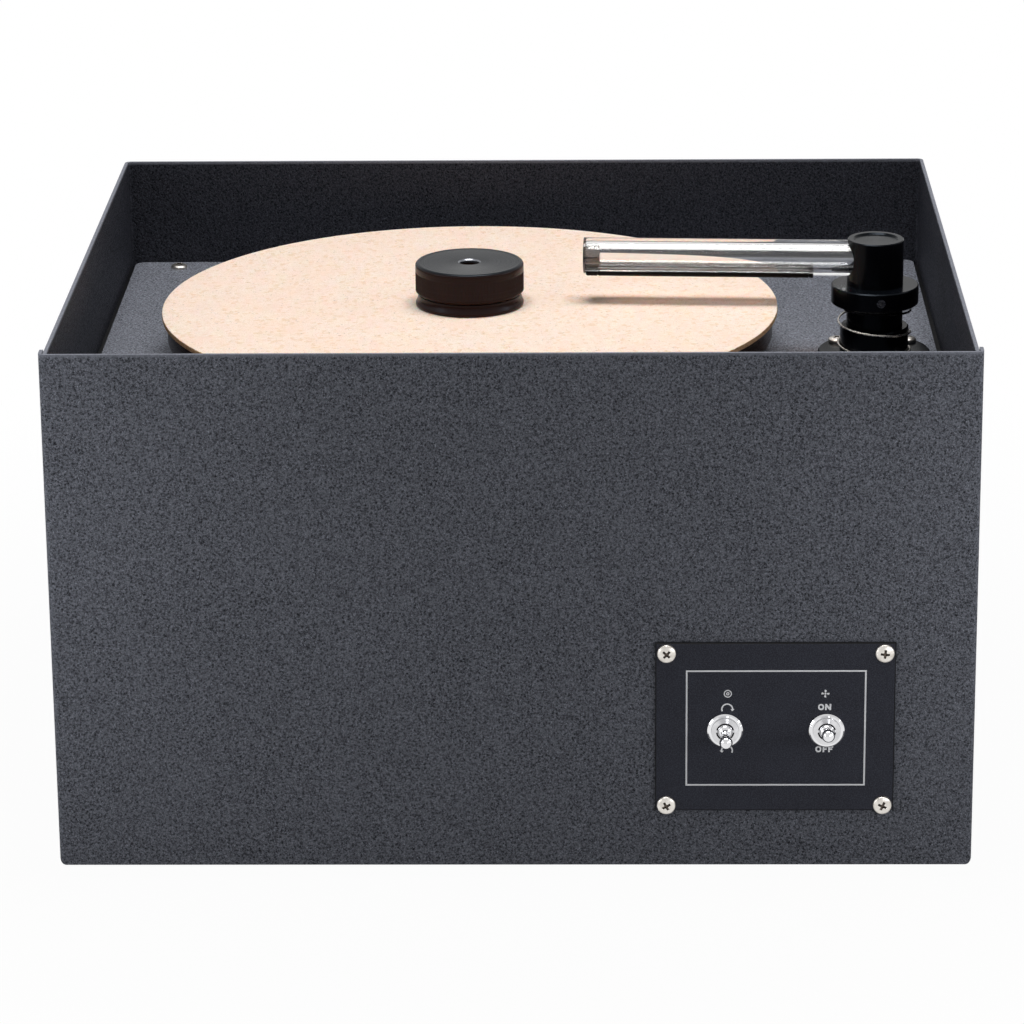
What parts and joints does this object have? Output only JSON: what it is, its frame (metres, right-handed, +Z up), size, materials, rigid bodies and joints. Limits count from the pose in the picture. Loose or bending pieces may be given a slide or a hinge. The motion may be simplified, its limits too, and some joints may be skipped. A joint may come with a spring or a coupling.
{
  "type": "record cleaning machine",
  "caption": "Vacuum record cleaning machine: sunken deck in a sheet steel case, cork covered turning platter with a screw clamp, sprung swing tube with felt, and toggle switches.",
  "frame": {"origin": "middle of the whole outline in plan, on the surface that the feet stand on", "axes": "+X to the user's right, +Y to the back, +Z up; the control plate faces -Y"},
  "size_m": [0.395, 0.3826, 0.2422],
  "materials": {
    "case_paint": "fine textured black powder coat",
    "plate_paint": "smooth satin black with white printed lines",
    "black_anodised": "satin black anodised",
    "cork": "pale pressed cork with fine tan grains",
    "clear_tube": "clear polished acrylic",
    "clear_plug": "clear cast end plug",
    "felt": "dense black felt",
    "chrome": "bright nickel chrome",
    "screw_steel": "bright zinc",
    "spring_steel": "bright drawn wire",
    "shaft_steel": "ground steel",
    "black_plastic": "moulded black",
    "rubber": "black moulded rubber",
    "cast_alloy": "die cast",
    "bracket_steel": "grey primer",
    "motor_steel": "dark grey enamel",
    "tank_plastic": "natural polyethylene",
    "brass": "turned brass",
    "handle_red": "red dipped handle",
    "wire": "insulated leads"
  },
  "bodies": {
    "root": {"front_panel": "case_paint", "case_wrap": "case_paint", "bottom_pan": "case_paint", "bottom_screws": "screw_steel", "feet": "rubber", "foot_screws": "screw_steel", "deck_plate": "case_paint", "deck_brackets": "bracket_steel", "deck_screws": "screw_steel", "control_plate": "plate_paint", "plate_screws": "screw_steel", "turntable_switch": "chrome", "vacuum_switch": "chrome", "switch_nuts": "chrome", "gearbox": "cast_alloy", "gearbox_screws": "screw_steel", "motor_body": "motor_steel", "motor_capacitor": "cast_alloy", "post_flange": "black_anodised", "flange_screws": "screw_steel", "post_spring": "spring_steel", "post_seal": "rubber", "waste_tank": "tank_plastic", "tank_lid": "tank_plastic", "tank_gasket": "rubber", "lid_screws": "screw_steel", "vacuum_motor": "motor_steel", "fan_housing": "cast_alloy", "vacuum_bracket": "bracket_steel", "vacuum_gasket": "rubber", "chassis_screws": "screw_steel", "air_hose": "rubber", "power_inlet": "black_plastic", "inlet_screws": "screw_steel", "drain_valve": "brass", "wiring_loom": "wire"},
    "platter": {"output_shaft": "shaft_steel", "platter_hub": "cast_alloy", "hub_set_screw": "screw_steel", "platter": "black_anodised", "platter_screws": "screw_steel", "cork_mat": "cork", "spindle": "shaft_steel"},
    "clamp_foot": {"clamp_foot": "black_anodised", "clamp_pad": "rubber"},
    "clamp_knob": {"clamp_knob": "black_anodised", "clamp_ring": "shaft_steel"},
    "post_slide": {"spring_washer": "black_plastic"},
    "swing": {"swing_post": "black_anodised", "post_collar": "black_anodised", "collar_set_screw": "screw_steel", "retaining_ring": "shaft_steel", "pickup_tube": "clear_tube", "tube_plug": "clear_plug", "felt_lips": "felt"},
    "turntable_lever": {"turntable_lever": "chrome"},
    "vacuum_lever": {"vacuum_lever": "chrome"},
    "fan": {"impeller": "cast_alloy"},
    "drain_lever": {"drain_lever": "handle_red"},
    "fuse_drawer": {"fuse_drawer": "black_plastic"}
  },
  "joints": [
    {"name": "platter_spin", "type": "hinge", "parent": "root", "child": "platter", "pos_m": [-0.0217, -0.00407, 0.194], "axis": [0, 0, 1], "continuous": true},
    {"name": "clamp_lift", "type": "slide", "parent": "platter", "child": "clamp_foot", "axis": [0, 0, 1], "range_m": [0, 0.006]},
    {"name": "clamp_turn", "type": "hinge", "parent": "clamp_foot", "child": "clamp_knob", "pos_m": [-0.0217, -0.00407, 0.2214], "axis": [0, 0, 1], "range_deg": [0, 1440]},
    {"name": "post_lift", "type": "slide", "parent": "root", "child": "post_slide", "axis": [0, 0, 1], "range_m": [-0.01, 0], "stiffness_N_per_m": 150, "springref_m": 0.02, "deforming": ["post_spring"]},
    {"name": "tube_swing", "type": "hinge", "parent": "post_slide", "child": "swing", "pos_m": [0.162, -0.00707, 0.186], "axis": [0, 0, 1], "range_deg": [-87, 93]},
    {"name": "turntable_toggle", "type": "hinge", "parent": "root", "child": "turntable_lever", "pos_m": [0.0906, -0.17492, 0.0692], "axis": [1, 0, 0], "range_deg": [-12.5, 12.5]},
    {"name": "vacuum_toggle", "type": "hinge", "parent": "root", "child": "vacuum_lever", "pos_m": [0.134, -0.17492, 0.0692], "axis": [1, 0, 0], "range_deg": [0, 25]},
    {"name": "fan_spin", "type": "hinge", "parent": "root", "child": "fan", "pos_m": [-0.114, 0.08593, 0.096], "axis": [0, 0, 1], "continuous": true},
    {"name": "drain_turn", "type": "hinge", "parent": "root", "child": "drain_lever", "pos_m": [0.15, 0.17727, 0.025], "axis": [0, 0, 1], "range_deg": [0, 90]},
    {"name": "fuse_slide", "type": "slide", "parent": "root", "child": "fuse_drawer", "axis": [0, 1, 0], "range_m": [0, 0.012]}
  ],
  "couplings": [
    {"joint": "clamp_lift", "follows": "clamp_turn", "m_per_rad": 0.00023873}
  ]
}
